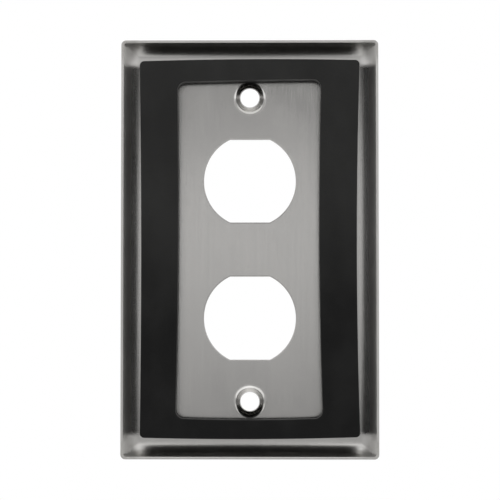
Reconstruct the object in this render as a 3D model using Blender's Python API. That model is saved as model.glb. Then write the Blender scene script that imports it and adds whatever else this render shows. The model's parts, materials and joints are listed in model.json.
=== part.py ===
"""A bare two-port stainless steel wall plate for one device box, with a foam gasket behind it.

+Z runs up the plate's height, +X across its width and +Y from the room into the wall.
The origin is on the wall plane, midway between the two screw holes.
"""

import math

import bmesh
import bpy

MM = 0.001

# The stamped plate: a shallow pan whose rim turns back to the wall plane.
PLATE_WIDTH = 70.3 * MM
PLATE_HEIGHT = 114.3 * MM
PLATE_DEPTH = 5.6 * MM
SHEET = 0.7 * MM
SIDE_BEND = 4.8 * MM
END_BEND = 4.2 * MM
BEND_SWEEP = math.radians(80)
OUTER_CORNER_RADIUS = 1.3 * MM
INNER_CORNER_RADIUS = 0.6 * MM

# The two ports are round holes with a flat above and a flat below.
PORT_DIAMETER = 25.3 * MM
PORT_ACROSS_FLATS = 22.8 * MM
PORT_PITCH = 37.8 * MM

# The two screw holes are dimpled: the sheet is pressed to the rear around each hole.
SCREW_PITCH = 83.34 * MM
SCREW_HOLE_DIAMETER = 5.2 * MM
COUNTERSINK_DIAMETER = 8.0 * MM
COUNTERSINK_HALF_ANGLE = math.radians(41)
DIMPLE_HALF_ANGLE = math.radians(34)
DIMPLE_HEIGHT = 1.6 * MM
DIMPLE_TIP_WALL = 0.2 * MM
DIMPLE_SKIRT = 0.5 * MM
DIMPLE_SKIRT_HEIGHT = 0.17 * MM

# The die-cut foam ring and the double-sided tape under it. The ring is laid by hand, a little out of true:
# its corners run from the upper +X one over -X, and its sides bow outwards by the amounts given for the
# upper end, the -X side, the lower end and the +X side.
GASKET_CORNERS = (
    (30.15 * MM, 51.5 * MM),
    (-30.1 * MM, 51.75 * MM),
    (-30.05 * MM, -51.15 * MM),
    (29.95 * MM, -51.35 * MM),
)
GASKET_BOWS = (0.4 * MM, -0.85 * MM, 0.45 * MM, -0.4 * MM)
GASKET_CORNER_RADIUS = 1.2 * MM
WINDOW_CORNERS = (
    (19.85 * MM, 45.75 * MM),
    (-19.6 * MM, 46.45 * MM),
    (-20.0 * MM, -46.05 * MM),
    (20.3 * MM, -46.1 * MM),
)
WINDOW_BOWS = (0.12 * MM, -0.75 * MM, 0.4 * MM, -0.5 * MM)
WINDOW_CORNER_RADIUS = 2.3 * MM
GASKET_THICKNESS = 3.7 * MM
TAPE_THICKNESS = 0.2 * MM
TAPE_MARGIN = 0.4 * MM

# Faces that touch on the real plate stand this far apart.
CONTACT_GAP = 0.3 * MM

RIM_STEPS = 9
CORNER_STEPS = 6
SIDE_STEPS = 12
PORT_ARC_STEPS = 28
HOLE_STEPS = 48
CUT_OVERRUN = 1.0 * MM

SHEET_REAR = -PLATE_DEPTH + SHEET


def clear_scene():
    for item in list(bpy.data.objects):
        bpy.data.objects.remove(item, do_unlink=True)


def plain_material(name, colour, roughness, metallic):
    made = bpy.data.materials.new(name)
    made.use_nodes = True
    shader = made.node_tree.nodes["Principled BSDF"]
    shader.inputs["Base Color"].default_value = (*colour, 1.0)
    shader.inputs["Roughness"].default_value = roughness
    shader.inputs["Metallic"].default_value = metallic
    return made


def add_object(name, mesh, parent, location=(0, 0, 0)):
    made = bpy.data.objects.new(name, mesh)
    made.location = location
    made.parent = parent
    bpy.context.collection.objects.link(made)
    return made


def skin(name, loops, is_ring=False):
    """A closed mesh through a row of loops with equal point counts.

    The first and last loops are capped, or joined to each other when the shape is a ring.
    """
    shape = bmesh.new()
    rows = [[shape.verts.new(point) for point in loop] for loop in loops]
    pairs = list(zip(rows, rows[1:]))
    if is_ring:
        pairs.append((rows[-1], rows[0]))
    else:
        shape.faces.new(rows[0])
        shape.faces.new(rows[-1])
    for first, second in pairs:
        count = len(first)
        for i in range(count):
            j = (i + 1) % count
            shape.faces.new((first[i], first[j], second[j], second[i]))
    bmesh.ops.recalc_face_normals(shape, faces=shape.faces)
    mesh = bpy.data.meshes.new(name)
    shape.to_mesh(mesh)
    shape.free()
    mesh.shade_smooth()
    mesh.set_sharp_from_angle(angle=math.radians(30))
    return mesh


def at_depth(outline, y):
    return [(x, y, z) for x, z in outline]


def rounded_rectangle(half_x, half_z, radius, side_steps=1):
    """(x, z) points round a rectangle with arcs at its corners."""
    signs = ((1, 1), (-1, 1), (-1, -1), (1, -1))
    corners = []
    for quarter, (sign_x, sign_z) in enumerate(signs):
        centre_x = sign_x * (half_x - radius)
        centre_z = sign_z * (half_z - radius)
        arc = []
        for step in range(CORNER_STEPS + 1):
            angle = math.pi / 2 * (quarter + step / CORNER_STEPS)
            arc.append((centre_x + radius * math.cos(angle), centre_z + radius * math.sin(angle)))
        corners.append(arc)
    points = []
    for arc, next_arc in zip(corners, corners[1:] + corners[:1]):
        points += arc
        (x0, z0), (x1, z1) = arc[-1], next_arc[0]
        for step in range(1, side_steps):
            share = step / side_steps
            points.append((x0 + (x1 - x0) * share, z0 + (z1 - z0) * share))
    return points


def bowed_outline(corners, bows, radius, shift):
    """A rounded outline through four corners, moved outwards by a shift, whose sides are shallow arcs."""
    moved = [(x + shift * math.copysign(1, x), z + shift * math.copysign(1, z)) for x, z in corners]
    half_x = sum(abs(x) for x, z in moved) / 4
    half_z = sum(abs(z) for x, z in moved) / 4
    upper, minus_x, lower, plus_x = bows
    points = []
    for x, z in rounded_rectangle(half_x, half_z, radius, SIDE_STEPS):
        u = x / half_x
        v = z / half_z
        shares = ((1 + u) * (1 + v) / 4, (1 - u) * (1 + v) / 4, (1 - u) * (1 - v) / 4, (1 + u) * (1 - v) / 4)
        new_x = sum(share * corner[0] for share, corner in zip(shares, moved))
        new_z = sum(share * corner[1] for share, corner in zip(shares, moved))
        new_x += (1 - v * v) * (plus_x * (1 + u) - minus_x * (1 - u)) / 2
        new_z += (1 - u * u) * (upper * (1 + v) - lower * (1 - v)) / 2
        points.append((new_x, new_z))
    return points


def rim_inset(height, bend, skin_depth):
    """How far in from the plate's edge a skin of the rim is, at a height above the front face.

    The rim turns through an arc of the bend radius and goes on straight to the wall plane.
    """
    radius = bend - skin_depth
    if height > bend - radius * math.cos(BEND_SWEEP):
        return (PLATE_DEPTH - height) / math.tan(BEND_SWEEP) + skin_depth / math.sin(BEND_SWEEP)
    outer_lip = PLATE_DEPTH - bend * (1 - math.cos(BEND_SWEEP))
    edge = bend * math.sin(BEND_SWEEP) + outer_lip / math.tan(BEND_SWEEP)
    return edge - math.sqrt(max(radius ** 2 - (bend - height) ** 2, 0.0))


def rim_rings(skin_depth, corner_radius):
    """(side inset, end inset, y, corner radius) of one skin of the rim, from the flat to the wall plane."""
    rings = []
    for step in range(RIM_STEPS + 1):
        angle = math.pi / 2 * step / RIM_STEPS
        height = skin_depth + (PLATE_DEPTH - skin_depth) * (1 - math.cos(angle))
        side_inset = rim_inset(height, SIDE_BEND, skin_depth)
        end_inset = rim_inset(height, END_BEND, skin_depth)
        rings.append((side_inset, end_inset, height - PLATE_DEPTH, corner_radius))
    return rings


def plate_blank():
    """The pan-shaped sheet before its holes are punched."""
    loops = []
    rings = rim_rings(0.0, OUTER_CORNER_RADIUS) + rim_rings(SHEET, INNER_CORNER_RADIUS)[::-1]
    for side_inset, end_inset, y, radius in rings:
        outline = rounded_rectangle(PLATE_WIDTH / 2 - side_inset, PLATE_HEIGHT / 2 - end_inset, radius)
        loops.append(at_depth(outline, y))
    return skin("cover_plate", loops)


def turned(name, section):
    """A closed round solid about the Y axis through (radius, y) points."""
    loops = []
    for radius, y in section:
        angles = [2 * math.pi * step / HOLE_STEPS for step in range(HOLE_STEPS)]
        loops.append([(radius * math.cos(a), y, radius * math.sin(a)) for a in angles])
    return skin(name, loops)


def dimple_mesh():
    """The cone that stands out of the plate's rear face round a screw hole."""
    tip_radius = SCREW_HOLE_DIAMETER / 2 + DIMPLE_TIP_WALL
    tip = SHEET_REAR + DIMPLE_HEIGHT
    skirt_top = SHEET_REAR + DIMPLE_SKIRT_HEIGHT
    foot_radius = tip_radius + DIMPLE_HEIGHT * math.tan(DIMPLE_HALF_ANGLE)
    buried = SHEET_REAR - SHEET / 2
    section = [
        (tip_radius, tip),
        (foot_radius, skirt_top),
        (foot_radius + DIMPLE_SKIRT, SHEET_REAR),
        (foot_radius + DIMPLE_SKIRT, buried),
    ]
    return turned("dimple", section)


def countersink_mesh():
    """The funnel that the screw's head sits in, and the hole below it."""
    hole_radius = SCREW_HOLE_DIAMETER / 2
    mouth_radius = COUNTERSINK_DIAMETER / 2
    front = -PLATE_DEPTH
    flare = CUT_OVERRUN * math.tan(COUNTERSINK_HALF_ANGLE)
    throat = front + (mouth_radius - hole_radius) / math.tan(COUNTERSINK_HALF_ANGLE)
    section = [
        (mouth_radius + flare, front - CUT_OVERRUN),
        (hole_radius, throat),
        (hole_radius, SHEET_REAR + DIMPLE_HEIGHT + CUT_OVERRUN),
    ]
    return turned("countersink", section)


def port_mesh():
    """A prism the shape of one port: two arcs joined by an upper and a lower flat."""
    radius = PORT_DIAMETER / 2
    flat_angle = math.asin(PORT_ACROSS_FLATS / PORT_DIAMETER)
    outline = []
    for middle in (0, math.pi):
        for step in range(PORT_ARC_STEPS + 1):
            angle = middle + flat_angle * (2 * step / PORT_ARC_STEPS - 1)
            outline.append((radius * math.cos(angle), radius * math.sin(angle)))
    depths = (-PLATE_DEPTH - CUT_OVERRUN, SHEET_REAR + CUT_OVERRUN)
    return skin("port", [at_depth(outline, y) for y in depths])


def combine(target, tool, operation):
    """Adds or cuts a hidden tool shape with a Boolean modifier."""
    tool.hide_render = True
    tool.display_type = "WIRE"
    modifier = target.modifiers.new(tool.name, "BOOLEAN")
    modifier.operation = operation
    modifier.object = tool


def make_cover_plate(parent):
    plate = add_object("cover_plate", plate_blank(), parent)
    plate.data.materials.append(plain_material("brushed_stainless", (0.56, 0.55, 0.53), 0.25, 1.0))
    dimple = dimple_mesh()
    countersink = countersink_mesh()
    port = port_mesh()
    for label, side in (("upper", 1), ("lower", -1)):
        screw_place = (0, 0, side * SCREW_PITCH / 2)
        port_place = (0, 0, side * PORT_PITCH / 2)
        combine(plate, add_object(f"{label}_dimple", dimple, parent, screw_place), "UNION")
        combine(plate, add_object(f"{label}_countersink", countersink, parent, screw_place), "DIFFERENCE")
        combine(plate, add_object(f"{label}_port", port, parent, port_place), "DIFFERENCE")


def gasket_ring(name, thickness, margin):
    """A flat ring with the gasket's outline and window, drawn in by a margin, from y = 0 to its thickness."""
    outer = bowed_outline(GASKET_CORNERS, GASKET_BOWS, GASKET_CORNER_RADIUS, -margin)
    window = bowed_outline(WINDOW_CORNERS, WINDOW_BOWS, WINDOW_CORNER_RADIUS, margin)
    loops = [
        at_depth(outer, 0),
        at_depth(outer, thickness),
        at_depth(window, thickness),
        at_depth(window, 0),
    ]
    return skin(name, loops, is_ring=True)


def make_adhesive_tape(parent):
    mesh = gasket_ring("adhesive_tape", TAPE_THICKNESS, TAPE_MARGIN)
    tape = add_object("adhesive_tape", mesh, parent, (0, SHEET_REAR + CONTACT_GAP, 0))
    tape.data.materials.append(plain_material("tape", (0.75, 0.73, 0.68), 0.45, 0.0))


def make_foam_gasket(parent):
    mesh = gasket_ring("foam_gasket", GASKET_THICKNESS, 0.0)
    front = SHEET_REAR + CONTACT_GAP + TAPE_THICKNESS + CONTACT_GAP
    gasket = add_object("foam_gasket", mesh, parent, (0, front, 0))
    gasket.data.materials.append(plain_material("black_foam", (0.02, 0.02, 0.02), 0.8, 0.0))


clear_scene()
wall_plane = add_object("wall_plane", None, None)
make_cover_plate(wall_plane)
make_adhesive_tape(wall_plane)
make_foam_gasket(wall_plane)
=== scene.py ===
"""Looks of the two-port stainless wall plate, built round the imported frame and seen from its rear.

+Z runs up the plate, +X across it and +Y out of its rear face towards the wall and the camera.
"""

import json
import math

import bmesh
import bpy
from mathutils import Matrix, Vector, geometry


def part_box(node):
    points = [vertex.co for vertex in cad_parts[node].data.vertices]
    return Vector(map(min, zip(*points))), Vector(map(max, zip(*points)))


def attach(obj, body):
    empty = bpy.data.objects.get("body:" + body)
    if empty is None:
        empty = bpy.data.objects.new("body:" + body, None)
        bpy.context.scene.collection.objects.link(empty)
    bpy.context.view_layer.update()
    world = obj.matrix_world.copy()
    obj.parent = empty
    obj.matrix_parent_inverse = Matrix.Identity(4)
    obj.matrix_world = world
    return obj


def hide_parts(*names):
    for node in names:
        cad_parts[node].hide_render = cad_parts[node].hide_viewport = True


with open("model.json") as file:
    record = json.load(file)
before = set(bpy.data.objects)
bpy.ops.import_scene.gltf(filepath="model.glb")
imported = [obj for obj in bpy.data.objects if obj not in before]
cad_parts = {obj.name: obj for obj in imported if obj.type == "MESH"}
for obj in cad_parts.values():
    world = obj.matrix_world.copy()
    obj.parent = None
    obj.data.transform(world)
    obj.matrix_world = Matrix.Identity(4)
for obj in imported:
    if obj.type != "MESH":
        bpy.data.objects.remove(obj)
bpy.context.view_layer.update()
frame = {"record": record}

MM = 0.001

# The plate's outline and depth come from the frame.
PLATE_LOW, PLATE_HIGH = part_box("cover_plate")
GASKET_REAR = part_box("foam_gasket")[1].y
MOUNTS = {mount["name"]: mount["pos_m"] for mount in frame["record"]["mounts"]}
PLATE_HALF_X = PLATE_HIGH.x
PLATE_HALF_Z = PLATE_HIGH.z
WALL_PLANE = PLATE_HIGH.y
PLATE_FRONT = PLATE_LOW.y
PLATE_DEPTH = WALL_PLANE - PLATE_FRONT
PORT_HEIGHTS = (MOUNTS["upper_port_front"][2], MOUNTS["lower_port_front"][2])

# The stamped sheet.
SHEET = 0.7 * MM
SIDE_BEND = 4.8 * MM
END_BEND = 4.2 * MM
BEND_SWEEP = math.radians(80)
OUTER_CORNER_RADIUS = 1.3 * MM
FLAT_CORNER_RADIUS = 0.2 * MM
INNER_CORNER_RADIUS = 0.7 * MM
CUT_EDGE_ROUND = 0.12 * MM
CUT_INNER_ROUND = 0.2 * MM
SHEET_REAR = PLATE_FRONT + SHEET

# The punched ports and the dimpled screw holes.
PORT_RADIUS = 12.65 * MM
PORT_HALF_FLATS = 11.4 * MM
PUNCH_ROUND = 0.1 * MM
SCREW_HEIGHTS = (41.67 * MM, -41.67 * MM)
SCREW_HOLE_RADIUS = 2.6 * MM
COUNTERSINK_RADIUS = 4.0 * MM
COUNTERSINK_HALF_ANGLE = math.radians(41)
DIMPLE_HALF_ANGLE = math.radians(34)
DIMPLE_HEIGHT = 1.6 * MM
DIMPLE_TIP_WALL = 0.2 * MM
DIMPLE_FOOT_BLEND = 0.7 * MM
TIP_OUTER_ROUND = 0.12 * MM
TIP_INNER_ROUND = 0.06 * MM
THROAT_ROUND = 0.08 * MM
COUNTERSINK_EDGE_ROUND = 0.25 * MM
REAR_MARGIN = 0.1 * MM
FRONT_MARGIN = 1.0 * MM

# The foam ring and the tape under it.
TAPE_THICKNESS = 0.2 * MM
TAPE_MARGIN = 0.4 * MM
TAPE_EDGE_ROUND = 0.05 * MM
TAPE_REAR = SHEET_REAR + TAPE_THICKNESS
GASKET_CORNERS = (
    (30.15 * MM, 51.5 * MM),
    (-30.1 * MM, 51.75 * MM),
    (-30.05 * MM, -51.15 * MM),
    (29.95 * MM, -51.35 * MM),
)
GASKET_BOWS = (0.4 * MM, -0.85 * MM, 0.45 * MM, -0.4 * MM)
GASKET_CORNER_RADIUS = 1.2 * MM
WINDOW_CORNERS = (
    (19.85 * MM, 45.75 * MM),
    (-19.6 * MM, 46.45 * MM),
    (-20.0 * MM, -46.05 * MM),
    (20.3 * MM, -46.1 * MM),
)
WINDOW_BOWS = (0.12 * MM, -0.75 * MM, 0.4 * MM, -0.5 * MM)
WINDOW_CORNER_RADIUS = 2.3 * MM
FOAM_EDGE_ROUND = 0.25 * MM

# The ranges of a noise's values that are used. Outside them it is held at its end value.
NOISE_SPREAD = (0.35, 0.65)
WIDE_SPREAD = (0.3, 0.7)

# The brushed steel: features per metre along X, Y and Z, depths, tones and roughnesses.
GRAIN_PER_METRE = (7000.0, 7000.0, 115.0)
GRAIN_DEPTH = 0.012 * MM
STREAKS_PER_METRE = (900.0, 900.0, 14.0)
STREAK_TONE = 0.4
SMUDGES_PER_METRE = (75.0, 75.0, 55.0)
SMUDGE_TONE = 0.6
SMUDGE_ROUGHNESS = 0.012
SCRATCHES_PER_METRE = (1100.0, 1100.0, 90.0)
SCRATCH_SPREAD = (0.72, 0.8)
SCRATCH_DEPTH = 0.003 * MM
STEEL_DARK = (0.553, 0.545, 0.53)
STEEL_LIGHT = (0.597, 0.587, 0.57)
BRUSHED_ANISOTROPY = 0.75

# How the steel gets rougher outwards from the flat. The pairs are distances from the plate's middle,
# sideways or along its height, between which the roughness rises.
FLAT_ROUGHNESS = 0.2
SIDE_LIP_ROUGHNESS = 0.44
SIDE_LIP = (31.5 * MM, PLATE_HALF_X)
END_LIP_ROUGHNESS = 0.6
END_LIP = (55.9 * MM, PLATE_HALF_Z)
END_STRIP_ADDED = 0.12
END_STRIP = (50.0 * MM, 51.0 * MM)
CORNER_ADDED = 0.4
CORNER_SIDE = (30.5 * MM, 32.5 * MM)
CORNER_END = (51.5 * MM, 54.0 * MM)

# The foam. Its cut walls are told from its flat faces by how far their normals point along Y.
FOAM_BLACK = (0.003, 0.003, 0.003)
FOAM_GREY = (0.03, 0.03, 0.029)
FOAM_SPECULAR = 0.15
# Painted light: the foam is lightened upwards between these heights, standing in for light falling from
# above.
PAINTED_TOPLIGHT_HEIGHTS = (-25.0 * MM, 15.0 * MM)
PAINTED_TOPLIGHT_TONE = 0.42
PATCHES_PER_METRE = (70.0, 70.0, 45.0)
PATCH_TONES = (-0.08, 0.13)
# The cut walls are made paler: partly the paler open cells of the cut, partly a painted sheen where
# light grazes the walls.
CUT_WALL_FACING = (0.2, 0.8)
CUT_WALL_PALENESS_AND_SHEEN = 0.8
CUT_WALL_DEPTH = 3.0 * MM
CUT_WALL_ROUGHNESS = 0.3
SKIN_PER_METRE = (1300.0, 1300.0, 1300.0)
SKIN_ROUGHNESS = (0.36, 0.46)
SKIN_DEPTH = 0.02 * MM
CELLS_PER_METRE = 2600.0
CELL_DEPTH = 0.025 * MM

# The tape and the floor.
TAPE_DRY = (0.78, 0.76, 0.71)
TAPE_WET = (0.62, 0.6, 0.56)
TAPE_ROUGHNESS = (0.3, 0.55)
WETTING_PER_METRE = (400.0, 400.0, 400.0)
WETTING_DEPTH = 0.01 * MM
FLOOR_DARK = (0.78, 0.78, 0.77)
FLOOR_LIGHT = (0.84, 0.84, 0.83)
FLOOR_ROUGHNESS = 0.7
FLOOR_PER_METRE = (120.0, 120.0, 120.0)

# The stage. The angles are the camera's own place round the plate's origin.
CAMERA_DISTANCE = 420 * MM
CAMERA_AZIMUTH = math.radians(180.65)
CAMERA_ELEVATION = math.radians(-1.75)
CAMERA_SHIFT = (0.0006, -0.0021)
SENSOR_WIDTH = 36.0
FOCAL_LENGTH = 3.084 * SENSOR_WIDTH
CLIP_START = 10 * MM
FLOOR_HEIGHT = -350 * MM
FLOOR_HALF_SIZE = 1000 * MM
FLOOR_CELLS = 4
SOFTBOX_PLACE = Vector((0.1, 0.7, 1.1))
SOFTBOX_SIZE = 900 * MM
SOFTBOX_WATTS = 1.0

# The studio's brightness by height, from straight below (0) to straight above (1): in the middle,
# where the camera and whoever holds it block the light, and to either side of them.
MIDDLE_STOPS = (
    (0.0, 0.8), (0.25, 0.84), (0.36, 0.7), (0.42, 0.25), (0.455, 0.3), (0.48, 0.58),
    (0.505, 0.68), (0.54, 0.85), (0.562, 0.18), (0.62, 0.15), (0.68, 1.1), (1.0, 1.3),
)
SIDE_STOPS = (
    (0.0, 0.8), (0.25, 0.84), (0.35, 0.75), (0.44, 0.6),
    (0.5, 0.6), (0.545, 0.7), (0.59, 1.4), (1.0, 1.3),
)
# How far to either side the middle passes into the sides.
SIDES_BLEND = (0.12, 0.3)
# Its brightness from the -X side (0) to the +X side (1).
ACROSS_STOPS = ((0.0, 0.85), (0.5, 1.0), (1.0, 0.95))

# Mesh fineness. EDGE_SUPPORT is how far in the extra loops beside an edge lie, and RING_SUPPORT is the
# same on the foam and the tape, in units of their edge's rounding.
WELD_DISTANCE = 0.001 * MM
RIM_STEPS = 28
CORNER_STEPS = 8
SIDE_STEP = 2.0 * MM
PORT_ARC_STEPS = 48
HOLE_STEPS = 72
FLAT_STEPS = 12
ROUND_STEPS = 4
PANEL_GRID = 1.6 * MM
PANEL_CLEARANCE = 0.45 * PANEL_GRID
EDGE_SUPPORT = 0.3 * MM
RING_SUPPORT = 1.5
DELAUNAY_TOLERANCE = 1e-7


# Outlines, as lists of (x, z). They all run anticlockwise as seen from the front.

QUARTERS = ((1, 1), (-1, 1), (-1, -1), (1, -1))


def rounded_rectangle(half_x, half_z, radius):
    """Points round a rectangle with arcs at its corners, from the upper end of the +X side.

    Their number depends on the plate's size alone, so that outlines of any size can be joined.
    """
    side_counts = (round(2 * PLATE_HALF_X / SIDE_STEP), round(2 * PLATE_HALF_Z / SIDE_STEP))
    arcs = []
    for quarter, (sign_x, sign_z) in enumerate(QUARTERS):
        centre_x = sign_x * (half_x - radius)
        centre_z = sign_z * (half_z - radius)
        arc = []
        for step in range(CORNER_STEPS + 1):
            angle = math.pi / 2 * (quarter + step / CORNER_STEPS)
            arc.append((centre_x + radius * math.cos(angle), centre_z + radius * math.sin(angle)))
        arcs.append(arc)
    points = []
    for quarter, arc in enumerate(arcs):
        points += arc
        (x0, z0), (x1, z1) = arc[-1], arcs[(quarter + 1) % 4][0]
        count = side_counts[quarter % 2]
        for step in range(1, count):
            share = step / count
            points.append((x0 + (x1 - x0) * share, z0 + (z1 - z0) * share))
    return points


def port_outline(grow, centre_z):
    """Two arcs joined by an upper and a lower flat, grown outwards by an even margin."""
    radius = PORT_RADIUS + grow
    half_flats = PORT_HALF_FLATS + grow
    flat_angle = math.asin(half_flats / radius)
    points = []
    for middle in (0, math.pi):
        for step in range(PORT_ARC_STEPS + 1):
            angle = middle + flat_angle * (2 * step / PORT_ARC_STEPS - 1)
            points.append((radius * math.cos(angle), centre_z + radius * math.sin(angle)))
        end = radius * math.cos(flat_angle)
        sign = 1 if middle == 0 else -1
        for step in range(1, FLAT_STEPS):
            points.append((sign * end * (1 - 2 * step / FLAT_STEPS), centre_z + sign * half_flats))
    return points


def circle(radius, centre_z):
    angles = [2 * math.pi * step / HOLE_STEPS for step in range(HOLE_STEPS)]
    return [(radius * math.cos(a), centre_z + radius * math.sin(a)) for a in angles]


# Mesh building.


def loft(shape, outlines):
    """Quads between successive (outline, y) loops with equal point counts."""
    rows = [[shape.verts.new((x, y, z)) for x, z in outline] for outline, y in outlines]
    for first, second in zip(rows, rows[1:]):
        count = len(first)
        for i in range(count):
            j = (i + 1) % count
            shape.faces.new((first[i], first[j], second[j], second[i]))


def inside(point, outline):
    """Whether a point lies inside a closed outline."""
    x, z = point
    hit = False
    for (x0, z0), (x1, z1) in zip(outline, outline[1:] + outline[:1]):
        if (z0 > z) != (z1 > z) and x < x0 + (z - z0) * (x1 - x0) / (z1 - z0):
            hit = not hit
    return hit


def panel(shape, border, holes, supports, y):
    """A flat triangulated field at one depth, between a border and its holes.

    The supports are extra loops inside it, which keep its smooth shading flat beside its edges.
    """
    loops = [border] + holes + supports
    points = []
    edges = []
    for loop in loops:
        start = len(points)
        points += [Vector(p) for p in loop]
        edges += [(start + i, start + (i + 1) % len(loop)) for i in range(len(loop))]
    far_x = max(p[0] for p in border)
    far_z = max(p[1] for p in border)
    steps_x = int(far_x / PANEL_GRID)
    steps_z = int(far_z / PANEL_GRID)
    for i in range(-steps_x, steps_x + 1):
        for j in range(-steps_z, steps_z + 1):
            spot = Vector((i * PANEL_GRID, j * PANEL_GRID))
            if not inside(spot, border) or any(inside(spot, hole) for hole in holes):
                continue
            if min((spot - Vector(p)).length for loop in loops for p in loop) > PANEL_CLEARANCE:
                points.append(spot)
    spots, _, triangles = geometry.delaunay_2d_cdt(points, edges, [], 1, DELAUNAY_TOLERANCE)[:3]
    verts = [shape.verts.new((p.x, y, p.y)) for p in spots]
    for triangle in triangles:
        middle = sum((spots[i] for i in triangle), Vector((0, 0))) / 3
        if not any(inside(middle, hole) for hole in holes):
            shape.faces.new([verts[i] for i in triangle])


def finished_mesh(name, shape):
    """Welds the stretches of one closed surface and shades it smooth."""
    bmesh.ops.remove_doubles(shape, verts=shape.verts, dist=WELD_DISTANCE)
    bmesh.ops.recalc_face_normals(shape, faces=shape.faces)
    mesh = bpy.data.meshes.new(name)
    shape.to_mesh(mesh)
    shape.free()
    mesh.shade_smooth()
    return mesh


def add_piece(name, mesh, material):
    """A piece of the plate, which has no moving parts, so it rides on the frame's one body."""
    piece = bpy.data.objects.new(name, mesh)
    piece.data.materials.append(material)
    bpy.context.collection.objects.link(piece)
    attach(piece, "root")
    return piece


# The stamped plate.


def rim_inset(height, bend, skin):
    """How far in from the plate's edge a skin of the bent rim is, at a height above the front face.

    The rim turns through an arc of the bend radius and goes on straight to the wall plane.
    """
    radius = bend - skin
    lip_start = bend - radius * math.cos(BEND_SWEEP)
    if height > lip_start:
        return (PLATE_DEPTH - height) / math.tan(BEND_SWEEP) + skin / math.sin(BEND_SWEEP)
    outer_start = bend * (1 - math.cos(BEND_SWEEP))
    edge = bend * math.sin(BEND_SWEEP) + (PLATE_DEPTH - outer_start) / math.tan(BEND_SWEEP)
    return edge - math.sqrt(max(radius ** 2 - (bend - height) ** 2, 0.0))


def rim_rings(skin, flat_corner, lip_corner):
    """(side inset, end inset, y, corner radius) of one skin, from the flat up to the cut edge."""
    top = PLATE_DEPTH - (CUT_INNER_ROUND if skin else CUT_EDGE_ROUND)
    rings = []
    for step in range(RIM_STEPS + 1):
        angle = math.pi / 2 * step / RIM_STEPS
        height = skin + (top - skin) * (1 - math.cos(angle))
        corner_radius = flat_corner + (lip_corner - flat_corner) * (height - skin) / (top - skin)
        rings.append((rim_inset(height, SIDE_BEND, skin), rim_inset(height, END_BEND, skin),
                      PLATE_FRONT + height, corner_radius))
    return rings


def plate_rings():
    """Every ring of the rim, from the rear flat round the cut edge to the front flat."""
    inner_edge = SHEET / math.sin(BEND_SWEEP)
    cut = []
    for step in range(1, ROUND_STEPS + 1):
        angle = math.pi / 2 * step / ROUND_STEPS
        inset = inner_edge - CUT_INNER_ROUND * (1 - math.cos(angle))
        y = WALL_PLANE - CUT_INNER_ROUND * (1 - math.sin(angle))
        cut.append((inset, inset, y, INNER_CORNER_RADIUS))
    for step in range(ROUND_STEPS, 0, -1):
        angle = math.pi / 2 * step / ROUND_STEPS
        inset = CUT_EDGE_ROUND * (1 - math.cos(angle))
        y = WALL_PLANE - CUT_EDGE_ROUND * (1 - math.sin(angle))
        cut.append((inset, inset, y, OUTER_CORNER_RADIUS))
    rear = rim_rings(SHEET, FLAT_CORNER_RADIUS, INNER_CORNER_RADIUS)
    front = rim_rings(0.0, OUTER_CORNER_RADIUS, OUTER_CORNER_RADIUS)
    return rear + cut + front[::-1]


def plate_outline(side_inset, end_inset, radius):
    """The plate's outline, moved inwards by its own inset at the sides and at the ends."""
    return rounded_rectangle(PLATE_HALF_X - side_inset, PLATE_HALF_Z - end_inset, radius)


def dimple_section():
    """(radius, y) from the rear flat over the dimple, through the hole and out to the front flat."""
    tip_radius = SCREW_HOLE_RADIUS + DIMPLE_TIP_WALL
    tip = SHEET_REAR + DIMPLE_HEIGHT
    foot_radius = tip_radius + DIMPLE_HEIGHT * math.tan(DIMPLE_HALF_ANGLE)
    countersink_depth = (COUNTERSINK_RADIUS - SCREW_HOLE_RADIUS) / math.tan(COUNTERSINK_HALF_ANGLE)
    throat = PLATE_FRONT + countersink_depth
    corners = [
        (foot_radius + DIMPLE_FOOT_BLEND + REAR_MARGIN, SHEET_REAR, 0.0),
        (foot_radius, SHEET_REAR, DIMPLE_FOOT_BLEND),
        (tip_radius, tip, TIP_OUTER_ROUND),
        (SCREW_HOLE_RADIUS, tip, TIP_INNER_ROUND),
        (SCREW_HOLE_RADIUS, throat, THROAT_ROUND),
        (COUNTERSINK_RADIUS, PLATE_FRONT, COUNTERSINK_EDGE_ROUND),
        (COUNTERSINK_RADIUS + FRONT_MARGIN, PLATE_FRONT, 0.0),
    ]
    return rounded_path(corners)


def rounded_path(corners):
    """Replaces each (u, v, reach) corner by a smooth curve that starts and ends that far from it."""
    path = [corners[0][:2]]
    for before, here, after in zip(corners, corners[1:], corners[2:]):
        spot = Vector(here[:2])
        towards_before = (Vector(before[:2]) - spot).normalized() * here[2]
        towards_after = (Vector(after[:2]) - spot).normalized() * here[2]
        steps = 2 * ROUND_STEPS
        for step in range(steps + 1):
            t = step / steps
            point = spot + towards_before * (1 - t) ** 2 + towards_after * t ** 2
            path.append((point.x, point.y))
    path.append(corners[-1][:2])
    return path


def port_walls(shape, centre_z):
    """The punched wall of one port, with its two edges slightly rounded."""
    loops = []
    for face, inward in ((SHEET_REAR, -1), (PLATE_FRONT, 1)):
        steps = range(ROUND_STEPS + 1) if inward < 0 else range(ROUND_STEPS, -1, -1)
        for step in steps:
            angle = math.pi / 2 * step / ROUND_STEPS
            grow = PUNCH_ROUND * (1 - math.sin(angle))
            y = face + inward * PUNCH_ROUND * (1 - math.cos(angle))
            loops.append((port_outline(grow, centre_z), y))
    loft(shape, loops)


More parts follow.
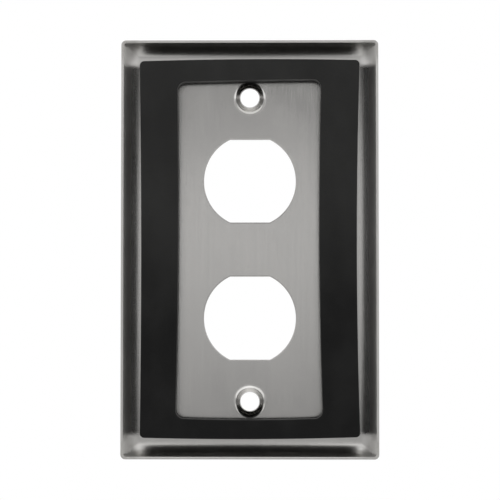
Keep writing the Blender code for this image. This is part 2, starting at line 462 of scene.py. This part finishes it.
def plate_mesh():
    """The whole plate as one closed surface: rim, dimples, port walls and the two flat faces."""
    shape = bmesh.new()
    rings = plate_rings()
    loft(shape, [(plate_outline(side, end, radius), y) for side, end, y, radius in rings])
    section = dimple_section()
    for centre_z in SCREW_HEIGHTS:
        loft(shape, [(circle(radius, centre_z), y) for radius, y in section])
    for centre_z in PORT_HEIGHTS:
        port_walls(shape, centre_z)
    faces = ((rings[0], section[0][0]), (rings[-1], section[-1][0]))
    for (side, end, y, radius), foot in faces:
        border = plate_outline(side, end, radius)
        holes = [circle(foot, z) for z in SCREW_HEIGHTS]
        holes += [port_outline(PUNCH_ROUND, z) for z in PORT_HEIGHTS]
        supports = [plate_outline(side + EDGE_SUPPORT, end + EDGE_SUPPORT, radius)]
        supports += [port_outline(PUNCH_ROUND + EDGE_SUPPORT, z) for z in PORT_HEIGHTS]
        panel(shape, border, holes, supports, y)
    return finished_mesh("steel_plate", shape)


# The foam ring and its tape.


def bowed_outline(corners, bows, radius, shift):
    """A rounded outline through four corners, moved outwards by a shift, with bowed sides.

    The corners run anticlockwise from the upper +X one. A bow is how far a side's middle stands out,
    for the upper end, the -X side, the lower end and the +X side.
    """
    moved = [(x + shift * math.copysign(1, x), z + shift * math.copysign(1, z)) for x, z in corners]
    half_x = sum(abs(x) for x, z in moved) / 4
    half_z = sum(abs(z) for x, z in moved) / 4
    upper, minus_x, lower, plus_x = bows
    points = []
    for x, z in rounded_rectangle(half_x, half_z, radius):
        u = x / half_x
        v = z / half_z
        shares = [(1 + sign_u * u) * (1 + sign_v * v) / 4 for sign_u, sign_v in QUARTERS]
        new_x = sum(share * corner[0] for share, corner in zip(shares, moved))
        new_z = sum(share * corner[1] for share, corner in zip(shares, moved))
        new_x += (1 - v * v) * (plus_x * (1 + u) - minus_x * (1 - u)) / 2
        new_z += (1 - u * u) * (upper * (1 + v) - lower * (1 - v)) / 2
        points.append((new_x, new_z))
    return points


def ring_outlines(inset):
    """The ring's outer outline and its window, each moved into the foam by an inset."""
    outer = bowed_outline(GASKET_CORNERS, GASKET_BOWS, GASKET_CORNER_RADIUS, -inset)
    window = bowed_outline(WINDOW_CORNERS, WINDOW_BOWS, WINDOW_CORNER_RADIUS, inset)
    return outer, window


def ring_mesh(name, front, rear, margin, edge_round):
    """A closed flat ring between two depths, with the edges of its rear face rounded."""
    shape = bmesh.new()
    sections = [(margin, front)]
    steps = 2 * ROUND_STEPS
    for step in range(steps + 1):
        angle = math.pi / 2 * step / steps
        inset = margin + edge_round * (1 - math.cos(angle))
        sections.append((inset, rear - edge_round * (1 - math.sin(angle))))
    sections.append((margin + RING_SUPPORT * edge_round, rear))
    outside = [(ring_outlines(inset)[0], y) for inset, y in sections]
    window = [(ring_outlines(inset)[1], y) for inset, y in sections]
    loops = outside + window[::-1]
    loft(shape, loops + [loops[0]])
    return finished_mesh(name, shape)


# Materials.


def new_material(name):
    made = bpy.data.materials.new(name)
    made.use_nodes = True
    return made, made.node_tree.nodes, made.node_tree.links


def stretched_noise(nodes, links, place, per_metre, detail=2.0):
    """Noise with its own number of features per metre along X, Y and Z."""
    stretch = nodes.new("ShaderNodeMapping")
    stretch.inputs["Scale"].default_value = per_metre
    links.new(place, stretch.inputs["Vector"])
    noise = nodes.new("ShaderNodeTexNoise")
    noise.inputs["Scale"].default_value = 1.0
    noise.inputs["Detail"].default_value = detail
    links.new(stretch.outputs["Vector"], noise.inputs["Vector"])
    return noise.outputs["Fac"]


def remap(nodes, links, value, source, target):
    """Carries a value from one range to another, clamped at its ends."""
    ramp = nodes.new("ShaderNodeMapRange")
    ramp.inputs["From Min"].default_value, ramp.inputs["From Max"].default_value = source
    ramp.inputs["To Min"].default_value, ramp.inputs["To Max"].default_value = target
    links.new(value, ramp.inputs["Value"])
    return ramp.outputs["Result"]


def calculate(nodes, links, operation, first, second=None):
    step = nodes.new("ShaderNodeMath")
    step.operation = operation
    links.new(first, step.inputs[0])
    if second is not None:
        links.new(second, step.inputs[1])
    return step.outputs["Value"]


def two_tone(nodes, links, value, dark, light, shader):
    """Colours a shader from dark to light as a value goes from 0 to 1."""
    mix = nodes.new("ShaderNodeMix")
    mix.data_type = "RGBA"
    links.new(value, mix.inputs["Factor"])
    mix.inputs["A"].default_value = (*dark, 1.0)
    mix.inputs["B"].default_value = (*light, 1.0)
    links.new(mix.outputs["Result"], shader.inputs["Base Color"])


def add_bump(nodes, links, height, depth, normal=None):
    bump = nodes.new("ShaderNodeBump")
    bump.inputs["Distance"].default_value = depth
    bump.inputs["Strength"].default_value = 1.0
    links.new(height, bump.inputs["Height"])
    if normal is not None:
        links.new(normal, bump.inputs["Normal"])
    return bump.outputs["Normal"]


def steel_roughness(nodes, links, axes, smudges):
    """Smooth on the flat and rougher over the bent rim, most of all at its corners and its lip."""
    beside = calculate(nodes, links, "ABSOLUTE", axes.outputs["X"])
    beyond = calculate(nodes, links, "ABSOLUTE", axes.outputs["Z"])
    side_lip = remap(nodes, links, beside, SIDE_LIP, (FLAT_ROUGHNESS, SIDE_LIP_ROUGHNESS))
    end_lip = remap(nodes, links, beyond, END_LIP, (FLAT_ROUGHNESS, END_LIP_ROUGHNESS))
    roughness = calculate(nodes, links, "MAXIMUM", side_lip, end_lip)
    corner_side = remap(nodes, links, beside, CORNER_SIDE, (0.0, CORNER_ADDED))
    corner_end = remap(nodes, links, beyond, CORNER_END, (0.0, 1.0))
    corner = calculate(nodes, links, "MULTIPLY", corner_side, corner_end)
    roughness = calculate(nodes, links, "ADD", roughness, corner)
    strip = remap(nodes, links, beyond, END_STRIP, (0.0, END_STRIP_ADDED))
    roughness = calculate(nodes, links, "ADD", roughness, strip)
    worn = remap(nodes, links, smudges, NOISE_SPREAD, (-SMUDGE_ROUGHNESS, SMUDGE_ROUGHNESS))
    return calculate(nodes, links, "ADD", roughness, worn)


def steel_material():
    """Stainless brushed along the plate's height, matt on the bent rim, with handling marks."""
    made, nodes, links = new_material("brushed_stainless")
    shader = nodes["Principled BSDF"]
    shader.inputs["Metallic"].default_value = 1.0
    shader.inputs["Anisotropic"].default_value = BRUSHED_ANISOTROPY
    across = nodes.new("ShaderNodeCombineXYZ")
    across.inputs["X"].default_value = 1.0
    links.new(across.outputs["Vector"], shader.inputs["Tangent"])
    place = nodes.new("ShaderNodeTexCoord").outputs["Object"]
    axes = nodes.new("ShaderNodeSeparateXYZ")
    links.new(place, axes.inputs["Vector"])

    streaks = stretched_noise(nodes, links, place, STREAKS_PER_METRE)
    streak_tone = remap(nodes, links, streaks, WIDE_SPREAD, (0.0, STREAK_TONE))
    smudges = stretched_noise(nodes, links, place, SMUDGES_PER_METRE)
    smudge_tone = remap(nodes, links, smudges, NOISE_SPREAD, (0.0, SMUDGE_TONE))
    tone = calculate(nodes, links, "ADD", streak_tone, smudge_tone)
    two_tone(nodes, links, tone, STEEL_DARK, STEEL_LIGHT, shader)
    links.new(steel_roughness(nodes, links, axes, smudges), shader.inputs["Roughness"])

    grain = stretched_noise(nodes, links, place, GRAIN_PER_METRE, detail=1.0)
    scratches = stretched_noise(nodes, links, place, SCRATCHES_PER_METRE, detail=0.0)
    scratches = remap(nodes, links, scratches, SCRATCH_SPREAD, (1.0, 0.0))
    normal = add_bump(nodes, links, grain, GRAIN_DEPTH)
    links.new(add_bump(nodes, links, scratches, SCRATCH_DEPTH, normal), shader.inputs["Normal"])
    return made


def foam_tone(nodes, links, coordinates, axes):
    """Lighter up the ring's height as painted light falling from above, in soft patches, and paler on
    the walls where it was cut, partly as a painted sheen.
    """
    # Painted light from above: lighter up the ring's height.
    painted_toplight = remap(nodes, links, axes.outputs["Z"], PAINTED_TOPLIGHT_HEIGHTS, (0.0, PAINTED_TOPLIGHT_TONE))
    patches = stretched_noise(nodes, links, coordinates.outputs["Object"], PATCHES_PER_METRE, detail=3.0)
    patches = remap(nodes, links, patches, NOISE_SPREAD, PATCH_TONES)
    tone = calculate(nodes, links, "ADD", painted_toplight, patches)
    facing = nodes.new("ShaderNodeSeparateXYZ")
    links.new(coordinates.outputs["Normal"], facing.inputs["Vector"])
    rearward = calculate(nodes, links, "ABSOLUTE", facing.outputs["Y"])
    # Paler cut walls: partly the cut cells' own colour, partly a painted sheen.
    cut = remap(nodes, links, rearward, CUT_WALL_FACING, (CUT_WALL_PALENESS_AND_SHEEN, 0.0))
    return calculate(nodes, links, "ADD", tone, cut)


def foam_material():
    """Closed-cell sponge rubber: finely pitted, lightened up its height by painted light from above,
    with paler cut walls that are partly a painted sheen, and smoother towards its rear face.
    """
    made, nodes, links = new_material("black_foam")
    shader = nodes["Principled BSDF"]
    shader.inputs["Specular IOR Level"].default_value = FOAM_SPECULAR
    coordinates = nodes.new("ShaderNodeTexCoord")
    place = coordinates.outputs["Object"]
    axes = nodes.new("ShaderNodeSeparateXYZ")
    links.new(place, axes.inputs["Vector"])
    tone = foam_tone(nodes, links, coordinates, axes)
    two_tone(nodes, links, tone, FOAM_BLACK, FOAM_GREY, shader)

    skin = stretched_noise(nodes, links, place, SKIN_PER_METRE, detail=3.0)
    skin_roughness = remap(nodes, links, skin, WIDE_SPREAD, SKIN_ROUGHNESS)
    wall = (GASKET_REAR - CUT_WALL_DEPTH, GASKET_REAR)
    wall_roughness = remap(nodes, links, axes.outputs["Y"], wall, (CUT_WALL_ROUGHNESS, 0.0))
    roughness = calculate(nodes, links, "ADD", wall_roughness, skin_roughness)
    links.new(roughness, shader.inputs["Roughness"])

    cells = nodes.new("ShaderNodeTexVoronoi")
    cells.feature = "SMOOTH_F1"
    cells.inputs["Scale"].default_value = CELLS_PER_METRE
    links.new(place, cells.inputs["Vector"])
    normal = add_bump(nodes, links, skin, SKIN_DEPTH)
    normal = add_bump(nodes, links, cells.outputs["Distance"], CELL_DEPTH, normal)
    links.new(normal, shader.inputs["Normal"])
    return made


def tape_material():
    """Milky double-sided tape, mottled where its adhesive wets the steel."""
    made, nodes, links = new_material("tape")
    shader = nodes["Principled BSDF"]
    place = nodes.new("ShaderNodeTexCoord").outputs["Object"]
    wetting = stretched_noise(nodes, links, place, WETTING_PER_METRE, detail=4.0)
    dryness = remap(nodes, links, wetting, NOISE_SPREAD, (0.0, 1.0))
    two_tone(nodes, links, dryness, TAPE_WET, TAPE_DRY, shader)
    roughness = remap(nodes, links, wetting, NOISE_SPREAD, TAPE_ROUGHNESS)
    links.new(roughness, shader.inputs["Roughness"])
    links.new(add_bump(nodes, links, wetting, WETTING_DEPTH), shader.inputs["Normal"])
    return made


def floor_material():
    """Pale painted board with a faint tooth."""
    made, nodes, links = new_material("pale_floor")
    shader = nodes["Principled BSDF"]
    place = nodes.new("ShaderNodeTexCoord").outputs["Object"]
    tooth = stretched_noise(nodes, links, place, FLOOR_PER_METRE, detail=3.0)
    two_tone(nodes, links, tooth, FLOOR_DARK, FLOOR_LIGHT, shader)
    shader.inputs["Roughness"].default_value = FLOOR_ROUGHNESS
    return made


# The stage: camera, studio, floor and lamp.


def make_camera():
    """A camera behind the plate, aimed at its origin, with the frame shifted slightly."""
    data = bpy.data.cameras.new("camera")
    data.sensor_width = SENSOR_WIDTH
    data.lens = FOCAL_LENGTH
    data.shift_x, data.shift_y = CAMERA_SHIFT
    data.clip_start = CLIP_START
    camera = bpy.data.objects.new("camera", data)
    back = Vector((
        math.sin(CAMERA_AZIMUTH) * math.cos(CAMERA_ELEVATION),
        -math.cos(CAMERA_AZIMUTH) * math.cos(CAMERA_ELEVATION),
        math.sin(CAMERA_ELEVATION),
    ))
    camera.location = back * CAMERA_DISTANCE
    camera.rotation_mode = "QUATERNION"
    camera.rotation_quaternion = (-back).to_track_quat("-Z", "Y")
    bpy.context.collection.objects.link(camera)
    bpy.context.scene.camera = camera


def ramp_over(nodes, links, value, stops):
    """A grey ramp over a value from -1 to 1."""
    spread = nodes.new("ShaderNodeMapRange")
    spread.inputs["From Min"].default_value = -1.0
    links.new(value, spread.inputs["Value"])
    ramp = nodes.new("ShaderNodeValToRGB")
    elements = ramp.color_ramp.elements
    while len(elements) < len(stops):
        elements.new(0.5)
    for element, (place, level) in zip(elements, stops):
        element.position = place
        element.color = (level, level, level, 1.0)
    ramp.color_ramp.interpolation = "EASE"
    links.new(spread.outputs["Result"], ramp.inputs["Fac"])
    return ramp.outputs["Color"]


def studio_colour(nodes, links):
    """The studio's light by direction: by height, in the middle or aside, and from side to side."""
    place = nodes.new("ShaderNodeTexCoord")
    axes = nodes.new("ShaderNodeSeparateXYZ")
    links.new(place.outputs["Generated"], axes.inputs["Vector"])
    share = nodes.new("ShaderNodeMapRange")
    share.interpolation_type = "SMOOTHSTEP"
    share.inputs["From Min"].default_value, share.inputs["From Max"].default_value = SIDES_BLEND
    aside = calculate(nodes, links, "ABSOLUTE", axes.outputs["X"])
    links.new(aside, share.inputs["Value"])
    by_height = nodes.new("ShaderNodeMix")
    by_height.data_type = "RGBA"
    links.new(share.outputs["Result"], by_height.inputs["Factor"])
    links.new(ramp_over(nodes, links, axes.outputs["Z"], MIDDLE_STOPS), by_height.inputs["A"])
    links.new(ramp_over(nodes, links, axes.outputs["Z"], SIDE_STOPS), by_height.inputs["B"])
    both = nodes.new("ShaderNodeVectorMath")
    both.operation = "MULTIPLY"
    links.new(by_height.outputs["Result"], both.inputs[0])
    links.new(ramp_over(nodes, links, axes.outputs["X"], ACROSS_STOPS), both.inputs[1])
    return both.outputs["Vector"]


def make_world():
    """A soft studio all round, plain white where the camera sees it directly."""
    world = bpy.data.worlds.new("studio")
    bpy.context.scene.world = world
    world.use_nodes = True
    nodes = world.node_tree.nodes
    links = world.node_tree.links
    studio = nodes["Background"]
    links.new(studio_colour(nodes, links), studio.inputs["Color"])
    backdrop = nodes.new("ShaderNodeBackground")
    backdrop.inputs["Color"].default_value = (1.0, 1.0, 1.0, 1.0)
    path = nodes.new("ShaderNodeLightPath")
    mix = nodes.new("ShaderNodeMixShader")
    links.new(path.outputs["Is Camera Ray"], mix.inputs["Fac"])
    links.new(studio.outputs["Background"], mix.inputs[1])
    links.new(backdrop.outputs["Background"], mix.inputs[2])
    links.new(mix.outputs["Shader"], nodes["World Output"].inputs["Surface"])


def make_floor():
    """A pale floor well below the plate, which hangs on its screws."""
    shape = bmesh.new()
    bmesh.ops.create_grid(shape, x_segments=FLOOR_CELLS, y_segments=FLOOR_CELLS, size=FLOOR_HALF_SIZE)
    mesh = bpy.data.meshes.new("floor")
    shape.to_mesh(mesh)
    shape.free()
    floor = bpy.data.objects.new("floor", mesh)
    floor.data.materials.append(floor_material())
    floor.location.z = FLOOR_HEIGHT
    bpy.context.collection.objects.link(floor)


def make_softbox():
    """One large soft lamp above the plate, on the camera's side."""
    data = bpy.data.lights.new("softbox", "AREA")
    data.shape = "SQUARE"
    data.size = SOFTBOX_SIZE
    data.energy = SOFTBOX_WATTS
    softbox = bpy.data.objects.new("softbox", data)
    softbox.location = SOFTBOX_PLACE
    softbox.rotation_mode = "QUATERNION"
    softbox.rotation_quaternion = (-SOFTBOX_PLACE).to_track_quat("-Z", "Y")
    bpy.context.collection.objects.link(softbox)


bpy.context.scene.view_settings.view_transform = "Standard"
make_camera()
make_world()
make_floor()
make_softbox()

plate = add_piece("steel_plate", plate_mesh(), steel_material())
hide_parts("cover_plate")

tape_mesh = ring_mesh("tape_ring", SHEET_REAR, TAPE_REAR, TAPE_MARGIN, TAPE_EDGE_ROUND)
tape_ring = add_piece("tape_ring", tape_mesh, tape_material())
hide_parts("adhesive_tape")

foam_mesh = ring_mesh("foam_ring", TAPE_REAR, GASKET_REAR, 0.0, FOAM_EDGE_ROUND)
foam_ring = add_piece("foam_ring", foam_mesh, foam_material())
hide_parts("foam_gasket")
